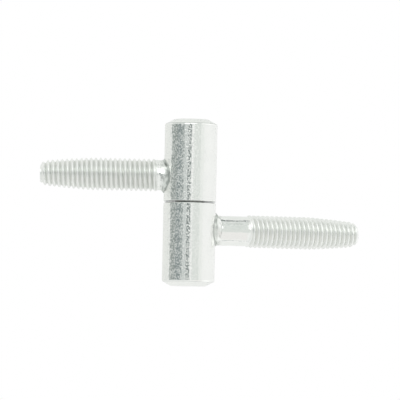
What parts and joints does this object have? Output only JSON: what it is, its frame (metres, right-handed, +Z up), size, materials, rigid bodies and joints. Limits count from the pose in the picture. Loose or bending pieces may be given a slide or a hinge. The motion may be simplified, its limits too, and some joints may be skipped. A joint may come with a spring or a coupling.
{
  "type": "drill-in hinge",
  "caption": "Two-part lift-off drill-in hinge: round steel knuckles on a fixed pin, each with a threaded stud that screws into the door or its frame.",
  "frame": {"origin": "middle of the lower knuckle's flat bottom face, on the hinge line", "axes": "+Z up along the hinge line, +X along the lower stud towards its tip"},
  "size_m": [0.0978, 0.0248, 0.0507],
  "materials": {
    "zinc_plated_steel": "bright zinc plate, satin",
    "ground_steel": "ground, lightly oiled",
    "bearing_steel": "polished"
  },
  "bodies": {
    "lower_half": {"lower_knuckle": "zinc_plated_steel", "lower_stud": "zinc_plated_steel", "hinge_pin": "ground_steel"},
    "bearing": {"thrust_ball": "bearing_steel"},
    "upper_half": {"upper_knuckle": "zinc_plated_steel", "upper_stud": "zinc_plated_steel"}
  },
  "joints": [
    {"name": "lift_off", "type": "slide", "parent": "lower_half", "child": "bearing", "axis": [0, 0, 1], "range_m": [0, 0.017]},
    {"name": "swing", "type": "hinge", "parent": "bearing", "child": "upper_half", "pos_m": [0, 0, 0.026], "axis": [0, 0, 1], "continuous": true}
  ]
}
